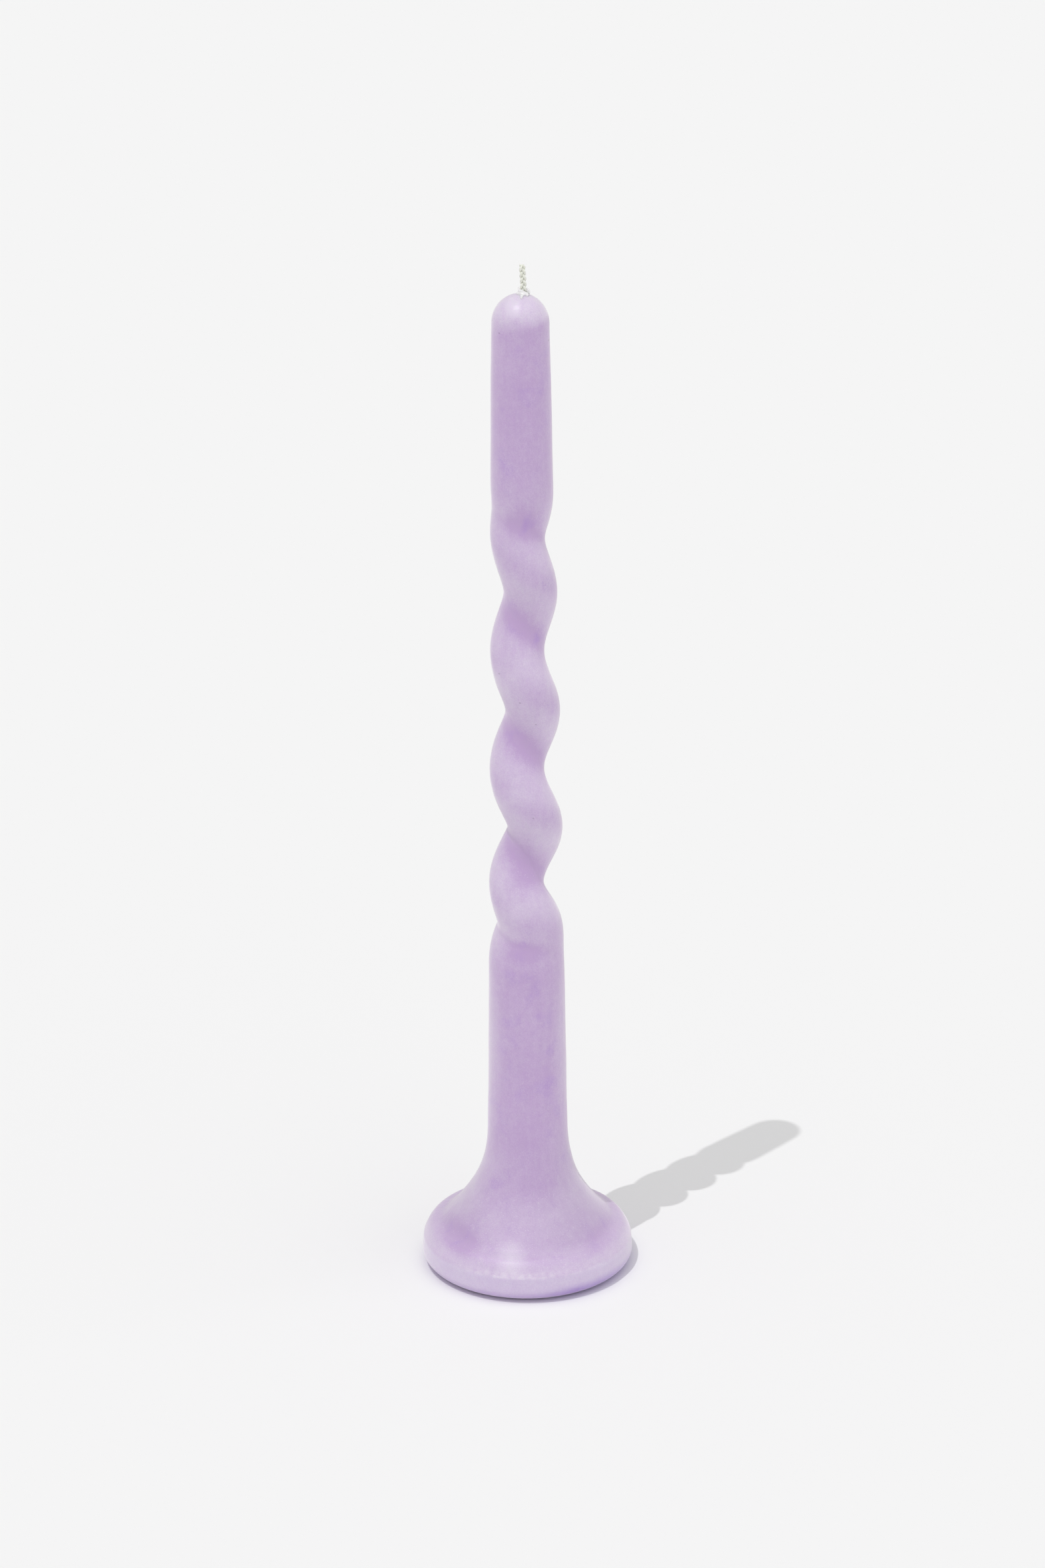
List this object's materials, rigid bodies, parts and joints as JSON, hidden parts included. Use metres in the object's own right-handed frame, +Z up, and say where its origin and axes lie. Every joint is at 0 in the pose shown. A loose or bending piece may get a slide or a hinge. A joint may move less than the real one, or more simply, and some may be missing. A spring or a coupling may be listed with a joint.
{
  "type": "twist candle",
  "caption": "Tall tapering wax candle with a spirally wound middle, a rounded crown with a cotton wick, and a wide flared foot it stands on by itself.",
  "frame": {"origin": "on the table line under the middle of the foot", "axes": "+Z up along the candle to the wick; the pictured front faces -Y and its right side is +X"},
  "size_m": [0.0598, 0.0598, 0.2917],
  "materials": {
    "lavender_wax": "pale lavender candle wax, satin and slightly translucent, with a fine bloom",
    "wick_cotton": "plaited undyed cotton primed with wax, matt grey-cream",
    "clear_wax": "undyed translucent wax, slightly glossy"
  },
  "bodies": {
    "root": {"wax_body": "lavender_wax", "wick": "wick_cotton", "wax_collar": "clear_wax"}
  },
  "joints": []
}
